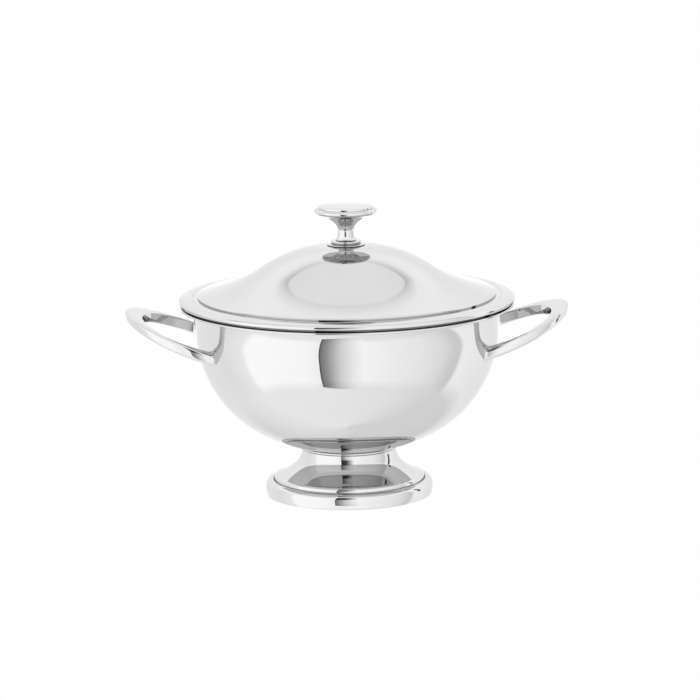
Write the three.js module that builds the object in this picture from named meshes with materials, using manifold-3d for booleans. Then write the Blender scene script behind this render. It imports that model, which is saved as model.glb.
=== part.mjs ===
// Footed soup tureen with two loop handles and a lift-off lid with a turned knob.
// Millimetres, +Z up. The origin is the bottom centre of the foot and the handles lie along X.

import * as THREE from 'three';
import { mergeVertices } from 'three/addons/utils/BufferGeometryUtils.js';
import Module from 'manifold-3d';

const wasm = await Module();
wasm.setup();

// ---------------------------------------------------------------- driving dimensions

const GAP = 0.3; // clearance between two pieces that touch
const LARGE_SEGMENTS = 36; // steps round the bowl, foot and lid
const SMALL_SEGMENTS = 28; // steps round the knob and its fittings

const FOOT = {
  radius: 61.8,
  bandHeight: 11.2,
  bandInnerRadius: 55.5,
  skirtBottom: 1.5,
  skirtTop: 11.4,
  shoulderRadius: 52.3,
  shoulderHeight: 15,
  throatRadius: 34.6,
  height: 33.8,
  wall: 1.3,
};

const NECK = { radius: 35.6, innerRadius: 31.5, height: 2 };

const BOWL = {
  bottom: FOOT.height + GAP + NECK.height + GAP,
  baseRadius: 24.2, // flat round in the middle of the bottom
  cornerRadius: 87, // big round between the bottom and the wall
  lipRadius: 114.6,
  lipHeight: 16, // flared part of the wall, above the big round
  wall: 1.5,
};
BOWL.shoulder = BOWL.bottom + BOWL.cornerRadius;
BOWL.top = BOWL.shoulder + BOWL.lipHeight;

const RIM = { innerRadius: 113, radius: 122, thickness: 1.8 };
RIM.bottom = BOWL.top + GAP;
RIM.top = RIM.bottom + RIM.thickness;

const HANDLE = {
  centreX: 113,
  rootX: 97, // where the loop leaves the bowl
  outerReach: 48.9, // from centreX to the outside of the tip
  innerReach: 36.2, // from centreX to the inside of the tip
  outerHalfWidth: 55,
  innerHalfWidth: 49.5,
  rootHeight: 110,
  rootThickness: 9.3,
  tipThickness: 7,
  slope: 0.345,
  upturn: 0.0009, // extra rise for each square millimetre of reach
  softEdge: 2.4,
};

// Heights in the lid are above the plane it rests on.
const LID = {
  radius: 123,
  landHeight: 5.6,
  landRadius: 113,
  footInnerRadius: 117,
  footOuterRadius: 119.4,
  undercut: 1.3, // height of the border's edge above the rim it stands on
  borderInnerRadius: 107.4,
  domeEdgeRadius: 109,
  domeEdgeHeight: 7.1,
  bendRadius: 65.3, // where the dome turns from hollow to round
  bendHeight: 24.7,
  bendSlope: 0.69,
  domeHeight: 42.5,
  seatRadius: 12,
  wall: 1.2,
  holeRadius: 3,
};

const LOCATING_RING = { radius: 110.2, wall: 1.4, reach: 9 }; // reach is below the lid's plane

// Heights in the knob are above the top of the lid.
const KNOB = {
  collarFlangeRadius: 14,
  collarRadius: 11.2,
  collarHeight: 3.4,
  pedestalRadius: 7.6,
  waistRadius: 5.9,
  waistHeight: 8.9,
  flareRadius: 14.5,
  flareHeight: 20.6,
  radius: 23,
  beadRadius: 20.5,
  beadBottom: 22.8,
  beadHeight: 4.2,
  topRadius: 19.9,
  topEdge: 28.3,
  height: 28.8,
  boreRadius: 2.5,
  boreDepth: 12,
};

const SCREW = { shankRadius: 2.2, headRadius: 5.4, headHeight: 2.8, slotWidth: 1.2, slotDepth: 1.3 };
const WASHER = { radius: 9, holeRadius: 2.8, thickness: 1.3 };

// ---------------------------------------------------------------- materials

function metal(color, roughness) {
  return new THREE.MeshStandardMaterial({ color, roughness, metalness: 1 });
}

const polishedSilver = () => metal(0xe3e4e3, 0.06);
const fittingSteel = () => metal(0xb9bbbd, 0.3);

// ---------------------------------------------------------------- outline and solid helpers

const at = (radius, height) => new THREE.Vector2(radius, height);

/** Points of an elliptic arc, angles in degrees from straight out, anticlockwise. */
function arc(centre, radiusOut, radiusUp, from, to, steps) {
  return Array.from({ length: steps + 1 }, (_, i) => {
    const angle = THREE.MathUtils.degToRad(from + ((to - from) * i) / steps);
    return at(centre.x + radiusOut * Math.cos(angle), centre.y + radiusUp * Math.sin(angle));
  });
}

function curve(steps, ...controls) {
  const kinds = { 3: THREE.QuadraticBezierCurve, 4: THREE.CubicBezierCurve };
  return new kinds[controls.length](...controls).getPoints(steps);
}

/** The outline set in by the wall thickness, to the left of its direction of travel. */
function setIn(outline, wall) {
  return outline.map((point, i) => {
    const before = outline[Math.max(i - 1, 0)];
    const after = outline[Math.min(i + 1, outline.length - 1)];
    const along = after.clone().sub(before).normalize();
    return at(Math.max(point.x - along.y * wall, 0), point.y + along.x * wall);
  });
}

/** Closed profile of a sheet wall. Edges are cut level when levelEdges is set. */
function sheet(outline, wall, levelEdges) {
  const inside = setIn(outline, wall);
  if (levelEdges) {
    inside[inside.length - 1].y = outline[outline.length - 1].y;
    inside[0].y = outline[0].x > 0 ? outline[0].y : inside[0].y;
  }
  return [...outline, ...inside.reverse()];
}

/** Solid of revolution about Z. Profiles off the axis are closed on themselves. */
function turn(profile, segments) {
  const first = profile[0];
  const last = profile[profile.length - 1];
  const onAxis = first.x === 0 && last.x === 0;
  const points = onAxis ? profile : [...profile, first.clone()];
  return new THREE.LatheGeometry(points, segments).rotateX(Math.PI / 2);
}

function toManifold(geometry) {
  const bare = geometry.clone();
  bare.deleteAttribute('normal');
  bare.deleteAttribute('uv');
  const welded = mergeVertices(bare, 1e-4);
  const triVerts = [];
  for (let i = 0; i < welded.index.count; i += 3) {
    const corners = [0, 1, 2].map((k) => welded.index.getX(i + k));
    if (new Set(corners).size === 3) triVerts.push(...corners);
  }
  return new wasm.Manifold(
    new wasm.Mesh({
      numProp: 3,
      vertProperties: new Float32Array(welded.attributes.position.array),
      triVerts: new Uint32Array(triVerts),
    }),
  );
}

function cut(geometry, tool) {
  const mesh = toManifold(geometry).subtract(toManifold(tool)).getMesh();
  const result = new THREE.BufferGeometry();
  result.setAttribute('position', new THREE.BufferAttribute(mesh.vertProperties, 3));
  result.setIndex(new THREE.BufferAttribute(mesh.triVerts, 1));
  result.computeVertexNormals();
  return result;
}

function piece(name, geometry, material) {
  const mesh = new THREE.Mesh(geometry, material);
  mesh.name = name;
  return mesh;
}

// ---------------------------------------------------------------- foot

function footBaseRing() {
  const crown = 4;
  const belly = 5.2;
  const crownCentre = at(FOOT.radius - crown, FOOT.bandHeight - belly);
  const profile = [
    at(FOOT.bandInnerRadius, 0),
    ...curve(3, at(FOOT.radius - 0.8, 0), at(FOOT.radius, 2.5), at(FOOT.radius, crownCentre.y)),
    ...arc(crownCentre, crown, belly, 18, 90, 4),
    at(FOOT.bandInnerRadius, FOOT.bandHeight),
  ];
  return piece('foot_base_ring', turn(profile, LARGE_SEGMENTS), polishedSilver());
}

/** Trumpet-shaped sheet with a hidden skirt inside the base band. */
function footPedestal() {
  const skirtRadius = FOOT.bandInnerRadius - GAP;
  const shoulder = at(FOOT.shoulderRadius, FOOT.shoulderHeight);
  const outline = [
    at(skirtRadius, FOOT.skirtBottom),
    ...curve(3, at(skirtRadius, FOOT.skirtTop), at(skirtRadius, FOOT.skirtTop + 3), shoulder),
    ...curve(
      8,
      shoulder,
      at(FOOT.shoulderRadius - 10, FOOT.shoulderHeight + 4),
      at(FOOT.throatRadius + 1, FOOT.height - 10),
      at(FOOT.throatRadius, FOOT.height),
    ).slice(1),
  ];
  return piece('foot_pedestal', turn(sheet(outline, FOOT.wall, true), LARGE_SEGMENTS), polishedSilver());
}

/** Solder ring between the foot and the bowl. */
function neckRing() {
  const bottom = FOOT.height + GAP;
  const half = NECK.height / 2;
  const profile = [
    at(NECK.innerRadius, bottom),
    ...arc(at(NECK.radius - half, bottom + half), half, half, -90, 90, 4),
    at(NECK.innerRadius, bottom + NECK.height),
  ];
  return piece('neck_ring', turn(profile, LARGE_SEGMENTS), polishedSilver());
}

// ---------------------------------------------------------------- bowl

/** Outside of the bowl from its bottom centre to its top edge, set out by a clearance. */
function bowlOutline(clearance) {
  const round = BOWL.cornerRadius + clearance;
  const centre = at(BOWL.baseRadius, BOWL.shoulder);
  const wallRadius = BOWL.baseRadius + BOWL.cornerRadius + clearance;
  return [
    at(0, BOWL.bottom - clearance),
    ...arc(centre, round, round, -90, 0, 12),
    ...curve(
      3,
      at(wallRadius, BOWL.shoulder),
      at(wallRadius, BOWL.shoulder + 9),
      at(BOWL.lipRadius + clearance, BOWL.top),
    ).slice(1),
  ];
}

function bowlShell() {
  const profile = sheet(bowlOutline(0), BOWL.wall, true);
  return piece('bowl_shell', turn(profile, LARGE_SEGMENTS), polishedSilver());
}

/** Flat flange on the edge of the bowl, which the lid rests on. */
function bowlRim() {
  const half = RIM.thickness / 2;
  const profile = [
    at(RIM.innerRadius, RIM.bottom),
    ...arc(at(RIM.radius - half, RIM.bottom + half), half, half, -90, 90, 4),
    at(RIM.innerRadius, RIM.top),
  ];
  return piece('bowl_rim', turn(profile, LARGE_SEGMENTS), polishedSilver());
}

// ---------------------------------------------------------------- handles

/** Band between two half ellipses, seen from above, with both ends run on into the bowl. */
function handlePlan() {
  const end = THREE.MathUtils.degToRad(120);
  const shape = new THREE.Shape();
  shape.absellipse(0, 0, HANDLE.outerReach, HANDLE.outerHalfWidth, -end, end, false, 0);
  shape.absellipse(0, 0, HANDLE.innerReach, HANDLE.innerHalfWidth, end, -end, true, 0);
  return shape;
}

/** Raises a flat band along the handle and thins it towards the tip. */
function bendHandle(geometry) {
  const rootReach = HANDLE.rootX - HANDLE.centreX;
  const position = geometry.attributes.position;
  for (let i = 0; i < position.count; i += 1) {
    const reach = position.getX(i) - rootReach;
    const share = THREE.MathUtils.clamp(reach / (HANDLE.outerReach - rootReach), 0, 1);
    const thickness = THREE.MathUtils.lerp(HANDLE.rootThickness, HANDLE.tipThickness, share);
    const rise = HANDLE.slope * reach + HANDLE.upturn * reach * reach;
    const height = position.getZ(i) * (thickness / HANDLE.rootThickness);
    position.setZ(i, HANDLE.rootHeight + rise + height);
  }
  return geometry;
}

function handleGeometry() {
  const { rootThickness, softEdge, centreX } = HANDLE;
  const depth = rootThickness - 2 * softEdge;
  const band = new THREE.ExtrudeGeometry(handlePlan(), {
    depth,
    curveSegments: 20,
    bevelEnabled: true,
    bevelThickness: softEdge,
    bevelSize: softEdge,
    bevelOffset: -softEdge,
    bevelSegments: 2,
  });
  const bent = bendHandle(band.translate(0, 0, -depth / 2)).translate(centreX, 0, 0);
  return cut(bent, turn([...bowlOutline(GAP), at(0, BOWL.top)], LARGE_SEGMENTS));
}

function handles() {
  const right = piece('handle_right', handleGeometry(), polishedSilver());
  const left = piece('handle_left', handleGeometry(), polishedSilver());
  left.rotation.z = Math.PI;
  return [left, right];
}

// ---------------------------------------------------------------- lid

/** Domed sheet: round in the middle, hollow towards the edge, flat under the knob. */
function lidShell() {
  const bend = at(LID.bendRadius, LID.bendHeight);
  const outline = [
    ...curve(
      6,
      at(LID.domeEdgeRadius, LID.domeEdgeHeight),
      at(LID.domeEdgeRadius - 14, LID.domeEdgeHeight + 3.8),
      at(LID.bendRadius + 12, LID.bendHeight - 12 * LID.bendSlope),
      bend,
    ),
    ...curve(
      7,
      bend,
      at(LID.bendRadius - 17.6, LID.bendHeight + 17.6 * LID.bendSlope),
      at(30, LID.domeHeight),
      at(LID.seatRadius, LID.domeHeight),
    ).slice(1),
    at(LID.holeRadius, LID.domeHeight),
  ];
  return piece('lid_shell', turn(sheet(outline, LID.wall, false), LARGE_SEGMENTS), polishedSilver());
}

/** Border ring that carries the dome and rests on the rim of the bowl. */
function lidBorder() {
  const bead = 1.6;
  const profile = [
    at(LID.borderInnerRadius, LID.landHeight - 2),
    at(LID.footInnerRadius, LID.landHeight - 2),
    at(LID.footInnerRadius, 0),
    at(LID.footOuterRadius, 0),
    at(LID.footOuterRadius, LID.undercut),
    ...arc(at(LID.radius - bead, LID.undercut + bead), bead, bead, -90, 0, 3),
    ...curve(
      5,
      at(LID.radius, LID.undercut + bead + 0.3),
      at(LID.radius, LID.landHeight),
      at(LID.landRadius + 0.7, LID.landHeight + 0.1),
    ),
    at(LID.landRadius, LID.landHeight - 0.4),
    at(LID.landRadius - 0.6, LID.landHeight),
    at(LID.borderInnerRadius, LID.landHeight),
  ];
  return piece('lid_border', turn(profile, LARGE_SEGMENTS), polishedSilver());
}

/** Thin ring under the lid that drops inside the bowl and keeps the lid centred. */
function lidLocatingRing() {
  const top = LID.landHeight - 2 - GAP;
  const inner = LOCATING_RING.radius - LOCATING_RING.wall;
  const half = LOCATING_RING.wall / 2;
  const profile = [
    ...arc(at(inner + half, half - LOCATING_RING.reach), half, half, -180, 0, 4),
    at(LOCATING_RING.radius, top),
    at(inner, top),
  ];
  return piece('lid_locating_ring', turn(profile, LARGE_SEGMENTS), polishedSilver());
}

// ---------------------------------------------------------------- knob and its fittings

function knobCollar() {
  const hole = LID.holeRadius;
  const bead = 0.9;
  const profile = [
    at(hole, GAP),
    at(KNOB.collarFlangeRadius - 0.3, GAP),
    at(KNOB.collarFlangeRadius, GAP + 0.3),
    at(KNOB.collarRadius - bead, 1.4),
    ...arc(at(KNOB.collarRadius - bead, KNOB.collarHeight - bead), bead, bead, -70, 90, 4),
    at(hole, KNOB.collarHeight),
  ];
  return piece('knob_collar', turn(profile, SMALL_SEGMENTS), polishedSilver());
}

/** Turned knob: pedestal, waist, flare and a flat round top with a beaded edge. */
function knob() {
  const bottom = KNOB.collarHeight + GAP;
  const waist = at(KNOB.waistRadius, KNOB.waistHeight);
  const beadCentre = at(KNOB.beadRadius, KNOB.beadBottom + KNOB.beadHeight / 2);
  const profile = [
    at(0, bottom + KNOB.boreDepth),
    at(KNOB.boreRadius, bottom + KNOB.boreDepth),
    at(KNOB.boreRadius, bottom),
    ...curve(4, at(KNOB.pedestalRadius, bottom), at(KNOB.waistRadius + 0.3, bottom + 2), waist),
    ...curve(
      6,
      waist,
      at(KNOB.waistRadius, KNOB.waistHeight + 7),
      at(KNOB.waistRadius + 3, KNOB.waistHeight + 7),
      at(KNOB.flareRadius, KNOB.flareHeight),
    ).slice(1),
    ...arc(beadCentre, KNOB.radius - KNOB.beadRadius, KNOB.beadHeight / 2, -90, 90, 6),
    at(KNOB.topRadius, beadCentre.y + KNOB.beadHeight / 2),
    at(KNOB.topRadius, KNOB.topEdge - 0.3),
    ...curve(3, at(KNOB.topRadius - 0.4, KNOB.topEdge), at(10, KNOB.height), at(0, KNOB.height)),
  ];
  return piece('knob', turn(profile, SMALL_SEGMENTS), polishedSilver());
}

/** Washer between the lid and the screw head, inside the lid. */
function knobWasher() {
  const top = -LID.wall - GAP;
  const bottom = top - WASHER.thickness;
  const profile = [
    at(WASHER.holeRadius, bottom),
    at(WASHER.radius - 0.4, bottom),
    at(WASHER.radius, bottom + 0.4),
    at(WASHER.radius, top),
    at(WASHER.holeRadius, top),
  ];
  return piece('knob_washer', turn(profile, SMALL_SEGMENTS), fittingSteel());
}

/** Slotted screw that passes up through the lid and the collar into the knob. */
function knobScrew() {
  const headTop = -LID.wall - GAP - WASHER.thickness - GAP;
  const headBottom = headTop - SCREW.headHeight;
  const tip = KNOB.collarHeight + KNOB.boreDepth - 1;
  const profile = [
    at(0, headBottom),
    ...arc(at(0, headTop - 1), SCREW.headRadius, SCREW.headHeight - 1, -70, 0, 3),
    at(SCREW.headRadius, headTop),
    at(SCREW.shankRadius, headTop),
    at(SCREW.shankRadius, tip - 0.6),
    at(SCREW.shankRadius - 0.6, tip),
    at(0, tip),
  ];
  const slot = new THREE.BoxGeometry(3 * SCREW.headRadius, SCREW.slotWidth, 2 * SCREW.slotDepth);
  const geometry = cut(turn(profile, SMALL_SEGMENTS), slot.translate(0, 0, headBottom));
  return piece('knob_screw', geometry, fittingSteel());
}

// ---------------------------------------------------------------- assembly

function knobAssembly() {
  const group = new THREE.Group();
  group.name = 'knob_assembly';
  group.position.z = LID.domeHeight;
  group.add(knobCollar(), knob(), knobWasher(), knobScrew());
  return group;
}

function lid() {
  const group = new THREE.Group();
  group.name = 'lid';
  group.position.z = RIM.top + GAP;
  group.add(lidShell(), lidBorder(), lidLocatingRing(), knobAssembly());
  return group;
}

function tureen() {
  const group = new THREE.Group();
  group.name = 'tureen';
  group.add(footBaseRing(), footPedestal(), neckRing(), bowlShell(), bowlRim(), ...handles());
  return group;
}

const group = new THREE.Group();
group.name = 'soup_tureen';
group.add(tureen(), lid());

export default group;
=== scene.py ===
"""Looks of the soup tureen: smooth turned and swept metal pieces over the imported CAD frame."""

import math

import bpy
from mathutils import Matrix, Vector


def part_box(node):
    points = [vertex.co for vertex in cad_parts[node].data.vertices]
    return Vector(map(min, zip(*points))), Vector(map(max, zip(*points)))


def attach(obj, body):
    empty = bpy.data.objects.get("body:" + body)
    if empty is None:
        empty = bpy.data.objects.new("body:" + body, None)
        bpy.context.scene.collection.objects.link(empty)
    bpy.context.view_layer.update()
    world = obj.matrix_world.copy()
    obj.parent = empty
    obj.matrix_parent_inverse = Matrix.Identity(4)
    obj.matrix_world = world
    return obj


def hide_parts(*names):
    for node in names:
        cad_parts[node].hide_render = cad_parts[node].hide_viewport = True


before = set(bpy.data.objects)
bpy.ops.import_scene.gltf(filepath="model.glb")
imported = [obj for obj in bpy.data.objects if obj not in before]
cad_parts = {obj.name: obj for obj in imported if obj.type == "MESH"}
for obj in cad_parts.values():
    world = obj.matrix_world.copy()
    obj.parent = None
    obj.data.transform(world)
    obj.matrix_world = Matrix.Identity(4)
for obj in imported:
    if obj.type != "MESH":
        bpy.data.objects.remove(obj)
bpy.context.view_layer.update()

# ---------------------------------------------------------------- sizes, in metres

MM = 0.001
AROUND = 160  # steps round a large turned piece
FINE = 0.35 * MM  # smallest edge softening


class Turned:
    """Outer radius, bottom and top of a turned CAD node."""

    def __init__(self, node):
        low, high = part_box(node)
        self.radius = high.x
        self.bottom = low.z
        self.top = high.z
        self.height = high.z - low.z


BAND = Turned("foot_base_ring")
PEDESTAL = Turned("foot_pedestal")
NECK = Turned("neck_ring")
BOWL = Turned("bowl_shell")
RIM = Turned("bowl_rim")
DOME = Turned("lid_shell")
BORDER = Turned("lid_border")
BEZEL = Turned("lid_locating_ring")
COLLAR = Turned("knob_collar")
KNOB = Turned("knob")

BOWL_BASE_RADIUS = 24.2 * MM  # flat round under the bowl
BOWL_CORNER = 87 * MM  # big round of the bowl
BOWL_WALL = 1.5 * MM
BOWL_WALL_RADIUS = BOWL_BASE_RADIUS + BOWL_CORNER
BOWL_SHOULDER = BOWL.bottom + BOWL_CORNER
LID_UNDERCUT = BORDER.bottom + 1.3 * MM  # underside of the lid's edge, just above the rim

# ---------------------------------------------------------------- outline helpers


def arc(centre, out, up, start, end, steps):
    """Points (radius, height) of an elliptic arc, angles in degrees."""
    angles = [math.radians(start + (end - start) * i / steps) for i in range(steps + 1)]
    return [(centre[0] + out * math.cos(a), centre[1] + up * math.sin(a)) for a in angles]


def bezier(steps, *controls):
    """Points of a Bezier curve of any degree."""
    points = []
    for i in range(steps + 1):
        t = i / steps
        level = [Vector(c) for c in controls]
        while len(level) > 1:
            level = [a.lerp(b, t) for a, b in zip(level, level[1:])]
        points.append(tuple(level[0]))
    return points


def set_in(outline, wall):
    """The outline moved to its left by the wall thickness."""
    inside = []
    for i, (radius, height) in enumerate(outline):
        before = Vector(outline[max(i - 1, 0)])
        after = Vector(outline[min(i + 1, len(outline) - 1)])
        along = (after - before).normalized()
        inside.append((max(radius - along.y * wall, 0), height + along.x * wall))
    return inside


def turn(name, profile, around=AROUND, inner_from=None):
    """Mesh of revolution about Z. Faces from profile point inner_from on use the second material."""
    on_axis = profile[0][0] == 0 and profile[-1][0] == 0
    count = len(profile)
    vertices, rings = [], []
    for radius, height in profile:
        if radius == 0:
            rings.append([len(vertices)] * around)
            vertices.append((0, 0, height))
            continue
        rings.append(list(range(len(vertices), len(vertices) + around)))
        for k in range(around):
            angle = 2 * math.pi * k / around
            vertices.append((radius * math.cos(angle), radius * math.sin(angle), height))
    faces, kinds = [], []
    for i in range(count - 1 if on_axis else count):
        low, high = rings[i], rings[(i + 1) % count]
        for k in range(around):
            corners = [low[k], low[(k + 1) % around], high[(k + 1) % around], high[k]]
            face = list(dict.fromkeys(corners))
            if len(face) > 2:
                faces.append(face)
                kinds.append(1 if inner_from is not None and i >= inner_from else 0)
    return build(name, vertices, faces, kinds)


def build(name, vertices, faces, kinds=None):
    """Smooth-shaded mesh object. kinds gives each face the number of its material."""
    mesh = bpy.data.meshes.new(name)
    mesh.from_pydata(vertices, [], faces)
    if kinds:
        mesh.polygons.foreach_set("material_index", kinds)
    mesh.polygons.foreach_set("use_smooth", [True] * len(faces))
    mesh.set_sharp_from_angle(angle=math.radians(38))
    mesh.update()
    piece = bpy.data.objects.new(name, mesh)
    bpy.context.scene.collection.objects.link(piece)
    return piece


def fit(piece, body, slot, materials, *nodes):
    """Gives a finished piece its materials and its body, and hides the CAD nodes that it stands for."""
    for material in materials:
        piece.data.materials.append(material)
    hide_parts(*nodes)
    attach(piece, body)


# ---------------------------------------------------------------- materials


class Nodes:
    """Small helper that adds shader nodes to a tree and links them."""

    def __init__(self, tree):
        self.tree = tree
        self.coordinates = tree.nodes.new("ShaderNodeTexCoord").outputs
        self.place = self.coordinates["Object"]

    def add(self, kind, inputs=None, **settings):
        node = self.tree.nodes.new(kind)
        for key, value in settings.items():
            setattr(node, key, value)
        for key, value in (inputs or {}).items():
            self.feed(node.inputs[key], value)
        return node

    def feed(self, socket, value):
        if isinstance(value, bpy.types.NodeSocket):
            self.tree.links.new(value, socket)
        else:
            socket.default_value = value

    def noise(self, scale, detail, stretch=(1, 1, 1)):
        mapping = self.add("ShaderNodeMapping", {"Vector": self.place, "Scale": stretch})
        inputs = {"Vector": mapping.outputs[0], "Scale": scale, "Detail": detail}
        return self.add("ShaderNodeTexNoise", inputs).outputs["Fac"]

    def remap(self, value, low, high, to_low, to_high):
        inputs = {"Value": value, "From Min": low, "From Max": high, "To Min": to_low, "To Max": to_high}
        return self.add("ShaderNodeMapRange", inputs).outputs[0]

    def maths(self, operation, *values):
        node = self.add("ShaderNodeMath", operation=operation)
        for socket, value in zip(node.inputs, values):
            self.feed(socket, value)
        return node.outputs[0]

    def tint(self, value, dark, light):
        """Colour between two fixed colours."""
        return self.mixed(value, (*dark, 1), (*light, 1))

    def mixed(self, share, first, second):
        """Colour between first and second."""
        node = self.add("ShaderNodeMix", data_type="RGBA")
        colour_a, colour_b, result = node.inputs[6], node.inputs[7], node.outputs[2]
        self.feed(node.inputs["Factor"], share)
        self.feed(colour_a, first)
        self.feed(colour_b, second)
        return result

    def bump(self, height, strength, distance):
        inputs = {"Height": height, "Strength": strength, "Distance": distance}
        return self.add("ShaderNodeBump", inputs).outputs[0]

    def turning_rings(self, scale, distortion):
        """Fine rings round Z, as a lathe leaves them."""
        inputs = {"Vector": self.place, "Scale": scale, "Distortion": distortion, "Detail": 2}
        return self.add("ShaderNodeTexWave", inputs, wave_type="RINGS", rings_direction="Z").outputs["Fac"]

    def hairlines(self, scale):
        """Thin straight polishing marks in two directions, 1 on a mark and 0 elsewhere."""
        one = self.noise(scale, 2, (1, 14, 3))
        two = self.noise(scale * 0.8, 2, (12, 1, 4))
        return self.maths("MAXIMUM", self.remap(one, 0.7, 0.76, 0, 1), self.remap(two, 0.71, 0.77, 0, 1))


class MetalNodes(Nodes):
    """The same helper for a new bare metal."""

    def __init__(self, name):
        self.material = bpy.data.materials.new(name)
        self.material.use_nodes = True
        super().__init__(self.material.node_tree)
        self.shader = self.tree.nodes["Principled BSDF"]
        self.shader.inputs["Metallic"].default_value = 1

    def look(self, colour, roughness, normal):
        """Links the finished colour, roughness and normal, and returns the material."""
        self.feed(self.shader.inputs["Base Color"], colour)
        self.feed(self.shader.inputs["Roughness"], roughness)
        self.feed(self.shader.inputs["Normal"], normal)
        return self.material


def polished_silver(name="polished_silver", recess=None):
    """Mirror-polished silver plate with faint haze, hairline marks and a scuffed standing edge.

    recess is an optional (bottom, top) height band whose colour is painted near black, as painted shade for
    the shadow gap under the lid's border.
    """
    n = MetalNodes(name)
    haze = n.noise(scale=38, detail=4)
    marks = n.hairlines(scale=420)
    height = n.add("ShaderNodeSeparateXYZ", {"Vector": n.place}).outputs["Z"]
    near_floor = n.remap(height, 1.6 * MM, 0.2 * MM, 0, 0.22)
    scuff = n.maths("MULTIPLY", near_floor, n.noise(scale=900, detail=3))
    hazy = n.remap(haze, 0.35, 0.7, 0.022, 0.05)
    rough = n.maths("ADD", hazy, n.maths("MULTIPLY", marks, 0.035))
    colour = n.tint(haze, dark=(0.54, 0.54, 0.538), light=(0.57, 0.57, 0.57))
    if recess:
        bottom, top = recess
        # Painted shade: between the recess heights the colour turns near black, standing in for the shadow in
        # the gap under the lid's border bead.
        above = n.remap(height, bottom - FINE / 2, bottom, 0, 1)
        below = n.remap(height, top, top + FINE, 1, 0)
        painted_gap_shade = n.tint(haze, dark=(0.1, 0.09, 0.085), light=(0.15, 0.14, 0.13))
        colour = n.mixed(n.maths("MULTIPLY", above, below), colour, painted_gap_shade)
    ripple = n.maths("ADD", n.noise(scale=60, detail=2), n.maths("MULTIPLY", marks, -0.05))
    n.shader.inputs["Specular Tint"].default_value = (0.76, 0.76, 0.76, 1)
    bump = n.bump(ripple, strength=0.03, distance=0.4 * MM)
    return n.look(colour, n.maths("ADD", rough, scuff), bump)


def spun_inside():
    """Satin inner face with fine rings from spinning and light marks from ladles."""
    n = MetalNodes("spun_inside")
    rings = n.turning_rings(scale=420, distortion=1.2)
    marks = n.hairlines(scale=260)
    haze = n.noise(scale=30, detail=4)
    rough = n.maths("ADD", n.remap(haze, 0.3, 0.7, 0.16, 0.24), n.maths("MULTIPLY", marks, 0.08))
    colour = n.tint(haze, dark=(0.53, 0.522, 0.515), light=(0.58, 0.572, 0.565))
    n.shader.inputs["Anisotropic"].default_value = 0.5
    return n.look(colour, rough, n.bump(rings, strength=0.12, distance=0.08 * MM))


def fitting_steel():
    """Plain turned steel of the screw and washer inside the lid."""
    n = MetalNodes("fitting_steel")
    rings = n.turning_rings(scale=900, distortion=0.8)
    dull = n.noise(scale=160, detail=4)
    colour = n.tint(dull, dark=(0.5, 0.5, 0.5), light=(0.58, 0.58, 0.58))
    rough = n.remap(dull, 0.3, 0.7, 0.26, 0.4)
    return n.look(colour, rough, n.bump(rings, strength=0.2, distance=0.05 * MM))


SILVER = polished_silver()
# The border's silver carries a band of painted shade in the gap under its bead.
BORDER_SILVER = polished_silver("border_silver", (BORDER.bottom, LID_UNDERCUT))
INSIDE = spun_inside()
STEEL = fitting_steel()

# ---------------------------------------------------------------- foot


def foot_band():
    """Heavy rounded band that the tureen stands on."""
    crown, belly = 4 * MM, 5.2 * MM
    inner = PEDESTAL.radius + 0.2 * MM
    centre = (BAND.radius - crown, BAND.top - belly)
    profile = [
        (inner, BAND.bottom),
        *bezier(10, (BAND.radius - 0.8 * MM, BAND.bottom), (BAND.radius, 2.5 * MM), (BAND.radius, centre[1])),
        *arc(centre, crown, belly, 6, 84, 16),
        (centre[0] + FINE, BAND.top),
        (inner + 2 * FINE, BAND.top),
        (inner, BAND.top - 2 * FINE),
    ]
    fit(turn("foot_band", profile), "tureen", "polished_silver", [SILVER], "foot_base_ring")


def foot_trumpet():
    """Sheet trumpet with a round shoulder above the band and a slim throat."""
    shoulder = (52.3 * MM, 15 * MM)
    throat = PEDESTAL.radius - 20.6 * MM
    skirt_top = 11.4 * MM
    outline = [
        (PEDESTAL.radius, PEDESTAL.bottom),
        *bezier(14, (PEDESTAL.radius, skirt_top), (PEDESTAL.radius, skirt_top + 3 * MM), shoulder),
        *bezier(
            44,
            shoulder,
            (shoulder[0] - 10 * MM, shoulder[1] + 4 * MM),
            (throat + 1 * MM, PEDESTAL.top - 10 * MM),
            (throat, PEDESTAL.top),
        )[1:],
    ]
    inside = set_in(outline, 1.3 * MM)
    inside[0] = (inside[0][0], PEDESTAL.bottom)
    inside[-1] = (inside[-1][0], PEDESTAL.top)
    piece = turn("foot_trumpet", outline + inside[::-1], inner_from=len(outline))
    fit(piece, "tureen", "polished_silver", [SILVER, INSIDE], "foot_pedestal")


def neck_bead():
    """Solder bead between the foot and the bowl."""
    half = NECK.height / 2
    inner = NECK.radius - 4 * MM
    profile = [
        (inner, NECK.bottom),
        *arc((NECK.radius - half, NECK.bottom + half), half, half, -90, 90, 16),
        (inner, NECK.top),
    ]
    fit(turn("neck_bead", profile), "tureen", "polished_silver", [SILVER], "neck_ring")


# ---------------------------------------------------------------- bowl


def bowl_outline():
    """Outside of the bowl from the middle of its bottom to its lip."""
    return [
        (0, BOWL.bottom),
        *arc((BOWL_BASE_RADIUS, BOWL_SHOULDER), BOWL_CORNER, BOWL_CORNER, -90, 0, 72),
        *bezier(
            16,
            (BOWL_WALL_RADIUS, BOWL_SHOULDER),
            (BOWL_WALL_RADIUS, BOWL_SHOULDER + 9 * MM),
            (BOWL.radius, BOWL.top),
        )[1:],
    ]


def bowl_body():
    """Sheet bowl, polished outside and satin inside."""
    outline = bowl_outline()
    inside = set_in(outline, BOWL_WALL)
    inside[-1] = (inside[-1][0], BOWL.top)
    piece = turn("bowl_body", outline + inside[::-1], inner_from=len(outline))
    fit(piece, "tureen", "polished_silver", [SILVER, INSIDE], "bowl_shell")


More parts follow.
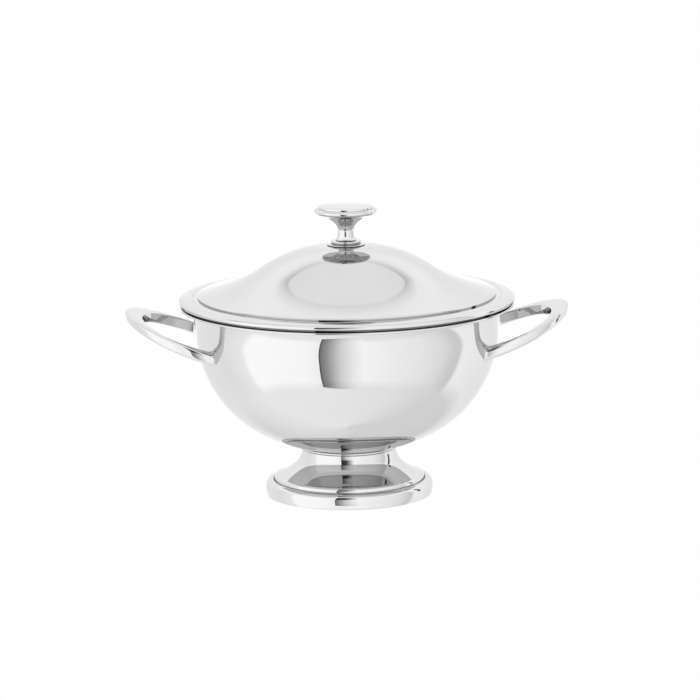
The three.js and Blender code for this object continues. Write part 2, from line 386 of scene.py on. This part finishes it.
def bowl_flange():
    """Flat rim with a rounded outer edge, which the lid rests on."""
    half = RIM.height / 2
    inner = RIM.radius - 9 * MM
    profile = [
        (inner + FINE, RIM.bottom),
        *arc((RIM.radius - half, RIM.bottom + half), half, half, -90, 90, 14),
        (inner + FINE, RIM.top),
        (inner, RIM.top - FINE),
        (inner, RIM.bottom + FINE),
    ]
    fit(turn("bowl_flange", profile), "tureen", "polished_silver", [SILVER], "bowl_rim")


def bowl_radius(height):
    """Outer radius of the bowl at a height on its big round or just above it."""
    drop = max(BOWL_SHOULDER - height, 0)
    return BOWL_BASE_RADIUS + math.sqrt(max(BOWL_CORNER**2 - drop**2, 0))


# ---------------------------------------------------------------- handles


class Loop:
    """Band between two half ellipses in plan, raised and thinned towards its tip."""

    centre = 113 * MM
    inner_reach = 36.2 * MM
    outer_half = 55 * MM
    inner_half = 49.5 * MM
    root = 97 * MM
    root_height = 110 * MM
    root_thickness = 9.3 * MM
    tip_thickness = 7 * MM
    slope = 0.345
    upturn = 0.9  # extra rise for each square metre of reach
    sink = 0.7 * MM  # how far the ends run into the wall of the bowl
    flare = 0.7 * MM  # solder fillet at the ends

    def __init__(self):
        self.outer_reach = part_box("handle_right")[1].x - self.centre

    def point(self, angle, across, up, spread=0):
        """Point on the bar: across runs 0 to 1 from inside to outside, up runs -1 to 1."""
        across = 0.5 + (across - 0.5) * (1 + spread / (3 * MM))
        reach_out = self.inner_reach + (self.outer_reach - self.inner_reach) * across
        half_out = self.inner_half + (self.outer_half - self.inner_half) * across
        x = self.centre + reach_out * math.cos(angle)
        y = half_out * math.sin(angle)
        reach = x - self.root
        share = min(max(reach / (self.centre + self.outer_reach - self.root), 0), 1)
        thickness = self.root_thickness + (self.tip_thickness - self.root_thickness) * share
        rise = self.slope * reach + self.upturn * reach * reach
        return Vector((x, y, self.root_height + rise + up * (thickness / 2 + spread)))

    def width(self, angle):
        return (self.point(angle, 1, 0) - self.point(angle, 0, 0)).length

    def depth_in_bowl(self, p):
        return bowl_radius(p.z) - self.sink - math.hypot(p.x, p.y)

    def end_angle(self, across, up):
        """Angle at which one line of the bar meets the wall of the bowl."""
        low, high = math.radians(60), math.radians(135)
        for _ in range(40):
            middle = (low + high) / 2
            if self.depth_in_bowl(self.point(middle, across, up)) < 0:
                low = middle
            else:
                high = middle
        return low


def bar_section(width, thickness):
    """Rounded section as (across, up) pairs: soft outer edge, crisp inner edge."""
    corners = [(1, -1, 2.6 * MM), (1, 1, 2.2 * MM), (0, 1, 0.9 * MM), (0, -1, 1.2 * MM)]
    turns = [-90, 0, 90, 180]
    points = []
    for (side, level, radius), start in zip(corners, turns):
        out, up = radius / width, 2 * radius / thickness
        centre = (side - (2 * side - 1) * out, level - level * up)
        points += arc(centre, out, up, start, start + 90, 7)
    return points


def handle(name, node, turned):
    """Solid loop handle swept round its half ellipse, with a small solder fillet at each end."""
    loop = Loop()
    steps = 120
    sweep = math.radians(100)  # half the angle of the loop
    half_length = 150 * MM
    fillet_reach = 1.1 * MM
    end_section = bar_section(loop.width(sweep), loop.root_thickness)
    per_ring = len(end_section)
    ends = [loop.end_angle(*pair) for pair in end_section]
    vertices = []
    for i in range(steps + 1):
        share = 2 * i / steps - 1
        section = bar_section(loop.width(sweep * share), loop.tip_thickness)
        for (across, up), end in zip(section, ends):
            from_end = (1 - abs(share)) * half_length
            spread = loop.flare * math.exp(-from_end / fillet_reach)
            vertices.append(loop.point(end * share, across, up, spread))
    faces = []
    for i in range(steps):
        for k in range(per_ring):
            a, b = i * per_ring + k, i * per_ring + (k + 1) % per_ring
            faces.append([a, b, b + per_ring, a + per_ring])
    faces.append(list(range(per_ring))[::-1])
    faces.append([steps * per_ring + k for k in range(per_ring)])
    piece = build(name, vertices, faces)
    piece.data.transform(Matrix.Rotation(turned, 4, "Z"))
    fit(piece, "tureen", "polished_silver", [SILVER], node)


# ---------------------------------------------------------------- lid


def lid_dome():
    """Domed lid: round in the middle, hollow towards the edge, flat under the knob."""
    edge = (DOME.radius, BORDER.bottom + 7.1 * MM)
    bend = (65.3 * MM, BORDER.bottom + 24.7 * MM)
    slope = 0.69
    seat = 12 * MM
    outline = [
        (edge[0], edge[1] - 4 * FINE),
        (edge[0], edge[1] - FINE),
        *bezier(
            30,
            (edge[0] - FINE, edge[1]),
            (edge[0] - 14 * MM, edge[1] + 3.8 * MM),
            (bend[0] + 12 * MM, bend[1] - 12 * MM * slope),
            bend,
        ),
        *bezier(
            44,
            bend,
            (bend[0] - 17.6 * MM, bend[1] + 17.6 * MM * slope),
            (30 * MM, DOME.top),
            (seat, DOME.top),
        )[1:],
        (3 * MM, DOME.top),
    ]
    inside = [(edge[0] - 4 * FINE, edge[1] - 3 * FINE)] + set_in(outline[2:], 1.2 * MM)[1:]
    piece = turn("lid_dome", outline + inside[::-1], inner_from=len(outline))
    fit(piece, "lid", "polished_silver", [SILVER, INSIDE], "lid_shell")


def lid_border():
    """Rounded border of the lid with a fine groove beside its inner land."""
    bead = 1.6 * MM
    land_radius = BORDER.radius - 10 * MM
    land = BORDER.bottom + 5.6 * MM
    inner = BORDER.radius - 15.6 * MM
    foot_inner = BORDER.radius - 6 * MM
    foot_outer = BORDER.radius - 3.6 * MM
    profile = [
        (inner, land - 2 * MM),
        (foot_inner, land - 2 * MM),
        (foot_inner, BORDER.bottom),
        (foot_outer, BORDER.bottom),
        (foot_outer, LID_UNDERCUT),
        *arc((BORDER.radius - bead, LID_UNDERCUT + bead), bead, bead, -90, 0, 12),
        *bezier(
            26,
            (BORDER.radius, LID_UNDERCUT + bead + 0.3 * MM),
            (BORDER.radius, land),
            (land_radius + 0.7 * MM, BORDER.top),
        ),
        (land_radius + 0.2 * MM, land - 0.3 * MM),
        (land_radius, land - 0.4 * MM),
        (land_radius - 0.3 * MM, land - 0.25 * MM),
        (land_radius - 0.6 * MM, land),
        (inner, land),
    ]
    piece = turn("lid_border_ring", profile)
    fit(piece, "lid", "polished_silver", [BORDER_SILVER], "lid_border")


def lid_bezel():
    """Ring under the lid that drops inside the bowl."""
    wall = 1.4 * MM
    half = wall / 2
    profile = [
        *arc((BEZEL.radius - half, BEZEL.bottom + half), half, half, -180, 0, 12),
        (BEZEL.radius, BEZEL.top),
        (BEZEL.radius - wall, BEZEL.top),
    ]
    fit(turn("lid_bezel", profile), "lid", "polished_silver", [SILVER], "lid_locating_ring")


# ---------------------------------------------------------------- knob


def knob_foot():
    """Stepped collar under the knob: a thin flange and a bead."""
    bead = 0.9 * MM
    collar = COLLAR.radius - 2.8 * MM
    hole = 3 * MM
    profile = [
        (hole, COLLAR.bottom),
        (COLLAR.radius - 0.2 * MM, COLLAR.bottom),
        *bezier(
            4,
            (COLLAR.radius, COLLAR.bottom + 0.1 * MM),
            (COLLAR.radius, COLLAR.bottom + 0.4 * MM),
            (COLLAR.radius - 0.4 * MM, COLLAR.bottom + 0.45 * MM),
        ),
        (collar - bead, COLLAR.bottom + 1.1 * MM),
        *arc((collar - bead, COLLAR.top - bead), bead, bead, -80, 90, 14),
        (hole, COLLAR.top),
    ]
    fit(turn("knob_foot", profile, 112), "lid", "polished_silver", [SILVER], "knob_collar")


def knob_top():
    """Turned knob: pedestal, waist, flare and a round plate with a beaded edge."""
    base = KNOB.bottom
    waist = (5.9 * MM, base + 5.2 * MM)
    bore_radius, bore_top = 2.5 * MM, base + 12 * MM
    bead_out, bead_up = 2.5 * MM, 2.1 * MM
    bead_centre = (KNOB.radius - bead_out, base + 21.2 * MM)
    plate = KNOB.radius - 3.1 * MM
    plate_edge = KNOB.top - 0.5 * MM
    flare = (14.5 * MM, base + 16.9 * MM)
    profile = [
        (0, bore_top),
        (bore_radius, bore_top),
        (bore_radius, base),
        *bezier(14, (7.6 * MM, base), (waist[0] + 0.3 * MM, base + 2 * MM), waist),
        *bezier(
            30,
            waist,
            (waist[0], waist[1] + 7 * MM),
            (waist[0] + 3 * MM, waist[1] + 7 * MM),
            flare,
        )[1:],
        *arc(bead_centre, bead_out, bead_up, -90, 90, 24),
        (plate, bead_centre[1] + bead_up),
        (plate, plate_edge - 0.3 * MM),
        *bezier(
            14,
            (plate - 0.15 * MM, plate_edge - 0.05 * MM),
            (plate - 0.8 * MM, plate_edge + 0.1 * MM),
            (10 * MM, KNOB.top),
            (0, KNOB.top),
        ),
    ]
    fit(turn("knob_top", profile, 128), "lid", "polished_silver", [SILVER], "knob")


def fittings():
    """The CAD washer and screw stay, with a turned-steel finish."""
    for node in ("knob_washer", "knob_screw"):
        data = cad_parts[node].data
        data.materials.clear()
        data.materials.append(STEEL)


# ---------------------------------------------------------------- stage

TENT_STRENGTH = 1.62  # the tent is overexposed, so that its second reflection in the metal is still light

# Brightness of the tent walls by direction: 0 and 1 are behind, 0.25 left, 0.5 in front, 0.75 right.
TENT_WALLS = [
    (0.0, 0.94), (0.09, 0.9), (0.19, 0.8), (0.25, 0.88), (0.265, 1.05), (0.4, 1.02), (0.44, 0.93),
    (0.52, 1.0), (0.6, 0.91), (0.66, 0.86), (0.71, 0.76), (0.742, 0.65), (0.757, 0.63), (0.77, 0.93),
    (0.85, 0.9), (1.0, 0.94),
]
# The table top below them, by the same directions.
TENT_FLOOR = [(0.0, 0.74), (0.25, 0.88), (0.45, 0.86), (0.6, 0.82), (0.75, 0.7), (1.0, 0.72)]
FLOOR_SHARE = [(0.15, 1), (0.21, 0)]
# Ceiling by height of the direction, where 0.5 is level and 1 straight up, with and without its dark seam.
TENT_CEILING = [(0.78, 0.97), (0.83, 0.93), (0.881, 0.74), (0.884, 0.82), (1.0, 0.81)]
CEILING_SEAM = [(0.78, 0.97), (0.835, 0.9), (0.881, 0.36), (0.884, 0.74), (1.0, 0.81)]
CEILING_SHARE = [(0.7, 0), (0.79, 1)]


def ramp(n, value, stops):
    """Colour ramp through grey levels, given as (place, level) pairs."""
    node = n.add("ShaderNodeValToRGB", {"Fac": value})
    points = node.color_ramp.elements
    while len(points) < len(stops):
        points.new(0.5)
    for point, (place, level) in zip(points, stops):
        point.position = place
        point.color = (level, level, level, 1)
    return node.outputs["Color"]


class StageNodes(MetalNodes):
    """The same helper for glowing stage surfaces, which have no metal shader."""

    def __init__(self, name):
        super().__init__(name)
        self.tree.nodes.remove(self.shader)
        self.glow = self.tree.nodes.new("ShaderNodeEmission")
        output = self.tree.nodes["Material Output"]
        self.tree.links.new(self.glow.outputs[0], output.inputs["Surface"])
        self.across = self.add("ShaderNodeSeparateXYZ", {"Vector": self.place})


def floor_white():
    """Evenly lit pale floor."""
    n = StageNodes("floor_white")
    n.glow.inputs["Color"].default_value = (1, 1, 1, 1)
    return n.material


def opening_fade(width, height, dim_share):
    """Dim opening: dark at its left edge and white at its right.

    Above dim_share of its height it is much darker, and at its foot a little darker.
    """
    n = StageNodes("opening_fade")
    across = n.remap(n.across.outputs["X"], -0.5 * width, 0.5 * width, 0, 1)
    upward = n.remap(n.across.outputs["Y"], -0.5 * height, 0.5 * height, 0, 1)
    dim = ramp(n, across, [(0, 0.03), (0.05, 0.2), (0.2, 0.32), (0.5, 0.68), (0.75, 0.88), (1, 1)])
    dark = ramp(n, across, [(0, 0.02), (0.45, 0.06), (0.7, 0.4), (1, 0.95)])
    above = n.remap(upward, dim_share, dim_share + 0.06, 0, 1)
    low = n.remap(upward, 0.02, 0.16, 1, 0)
    low_dim = n.mixed(low, dim, n.maths("MULTIPLY", dim, 0.86))
    n.feed(n.glow.inputs["Color"], n.mixed(above, low_dim, dark))
    n.glow.inputs["Strength"].default_value = TENT_STRENGTH
    return n.material


def dark_strip():
    """Warm dark grey of a narrow gap between two tent walls."""
    n = StageNodes("dark_strip")
    shade = n.noise(4, 1)
    n.feed(n.glow.inputs["Color"], n.tint(shade, (0.075, 0.068, 0.066), (0.2, 0.19, 0.19)))
    return n.material


def panel(name, corner, right, up, material):
    """Flat studio card, seen only in reflections. corner is its lower left, as seen from the tureen."""
    centre = corner + right / 2 + up / 2
    width, height = right.length / 2, up.length / 2
    corners = [(-width, -height, 0), (width, -height, 0), (width, height, 0), (-width, height, 0)]
    piece = build(name, corners, [[0, 1, 2, 3]])
    piece.data.materials.append(material)
    across, upward = right.normalized(), up.normalized()
    turned = Matrix((across, upward, across.cross(upward))).transposed().to_4x4()
    piece.matrix_world = Matrix.Translation(centre) @ turned
    piece.visible_camera = False
    piece.visible_shadow = False
    piece.visible_diffuse = False


def world_light():
    """White tent: bright on the left, a little greyer to the right, below and overhead."""
    world = bpy.data.worlds.new("studio_tent")
    world.use_nodes = True
    n = Nodes(world.node_tree)
    split = n.add("ShaderNodeSeparateXYZ", {"Vector": n.coordinates["Generated"]})
    x, y, z = (split.outputs[k] for k in "XYZ")
    around = n.remap(n.maths("ARCTAN2", x, n.maths("MULTIPLY", y, -1)), -math.pi, math.pi, 0, 1)
    upward = n.remap(z, -1, 1, 0, 1)
    aside = n.remap(n.maths("ABSOLUTE", x), 0.15, 0.6, 0, 1)
    ceiling = n.mixed(aside, ramp(n, upward, TENT_CEILING), ramp(n, upward, CEILING_SEAM))
    walls = n.mixed(ramp(n, upward, FLOOR_SHARE), ramp(n, around, TENT_WALLS), ramp(n, around, TENT_FLOOR))
    levels = n.mixed(ramp(n, upward, CEILING_SHARE), walls, ceiling)
    background = n.tree.nodes["Background"]
    n.feed(background.inputs["Color"], levels)
    background.inputs["Strength"].default_value = TENT_STRENGTH
    bpy.context.scene.world = world


def studio():
    """White tent with a dark opening in front, a narrow dark gap on the right and a pale floor."""
    world_light()
    bpy.context.scene.view_settings.view_transform = "Standard"
    half = 6
    corners = [(x * half, y * half, -FINE) for x, y in ((-1, -1), (1, -1), (1, 1), (-1, 1))]
    floor = build("studio_floor", corners, [[0, 1, 2, 3]])
    floor.data.materials.append(floor_white())
    floor.visible_glossy = False
    width, height = 0.18, 0.46
    dim_height = 0.215
    opening_corner = Vector((-0.126, -0.34, -0.13))
    fade = opening_fade(width, height, dim_height / height)
    panel("dim_opening", opening_corner, Vector((width, 0, 0)), Vector((0, 0, height)), fade)
    gap_corner = Vector((0.62, 0.12, 0.02))
    gap_width, gap_height = 0.07, 0.34
    panel("dark_gap", gap_corner, Vector((0, gap_width, 0)), Vector((0, 0, gap_height)), dark_strip())


def camera():
    """Long lens a little above the table, turned two degrees to the left of straight on."""
    azimuth, elevation, roll = math.radians(-2), math.radians(10.9), math.radians(-0.82)
    target = Vector((1.8 * MM, 0, 106 * MM))
    distance = 2.78
    away = Vector((
        math.sin(azimuth) * math.cos(elevation),
        -math.cos(azimuth) * math.cos(elevation),
        math.sin(elevation),
    ))
    data = bpy.data.cameras.new("camera")
    data.sensor_width = 36
    data.lens = 195.4
    data.clip_end = 50
    shot = bpy.data.objects.new("camera", data)
    bpy.context.scene.collection.objects.link(shot)
    tilt = away.to_track_quat("Z", "Y").to_matrix().to_4x4() @ Matrix.Rotation(roll, 4, "Z")
    shot.matrix_world = Matrix.Translation(target + away * distance) @ tilt
    bpy.context.scene.camera = shot


# ---------------------------------------------------------------- assembly

foot_band()
foot_trumpet()
neck_bead()
bowl_body()
bowl_flange()
handle("handle_loop_right", "handle_right", 0)
handle("handle_loop_left", "handle_left", math.pi)
lid_dome()
lid_border()
lid_bezel()
knob_foot()
knob_top()
fittings()
studio()
camera()
